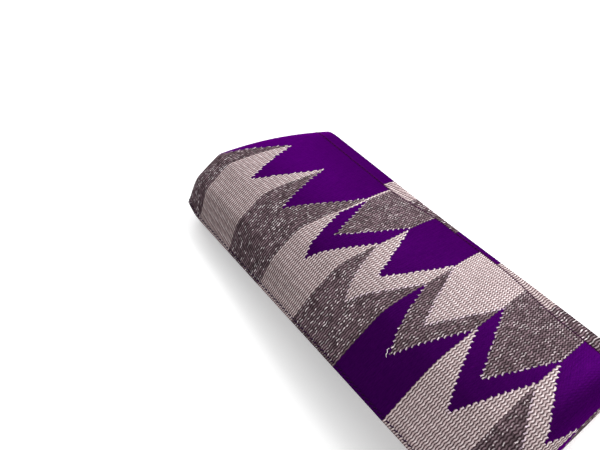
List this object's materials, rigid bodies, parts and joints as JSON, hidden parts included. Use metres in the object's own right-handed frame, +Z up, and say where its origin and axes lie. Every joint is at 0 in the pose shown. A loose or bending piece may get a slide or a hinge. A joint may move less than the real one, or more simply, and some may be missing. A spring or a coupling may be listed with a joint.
{
  "type": "folded kente cloth",
  "caption": "Long kente cloth of two woven strips sewn edge to edge, doubled lengthwise and folded over and over into a flat rectangular bundle.",
  "frame": {"origin": "centre of the bundle's underside, on the surface that it lies on", "axes": "+X from the hemmed side to the doubled side, +Y along the strips from the near fold to the far fold, +Z up"},
  "size_m": [0.1093, 0.2916, 0.04],
  "materials": {
    "outer_strip": "thick weft-faced weave with zigzag blocks of pinkish cream, silver grey and purple",
    "inner_strip": "the same thick weave, showing mostly its purple blocks"
  },
  "bodies": {
    "root": {"outer_strip": "outer_strip", "inner_strip": "inner_strip"}
  },
  "joints": []
}
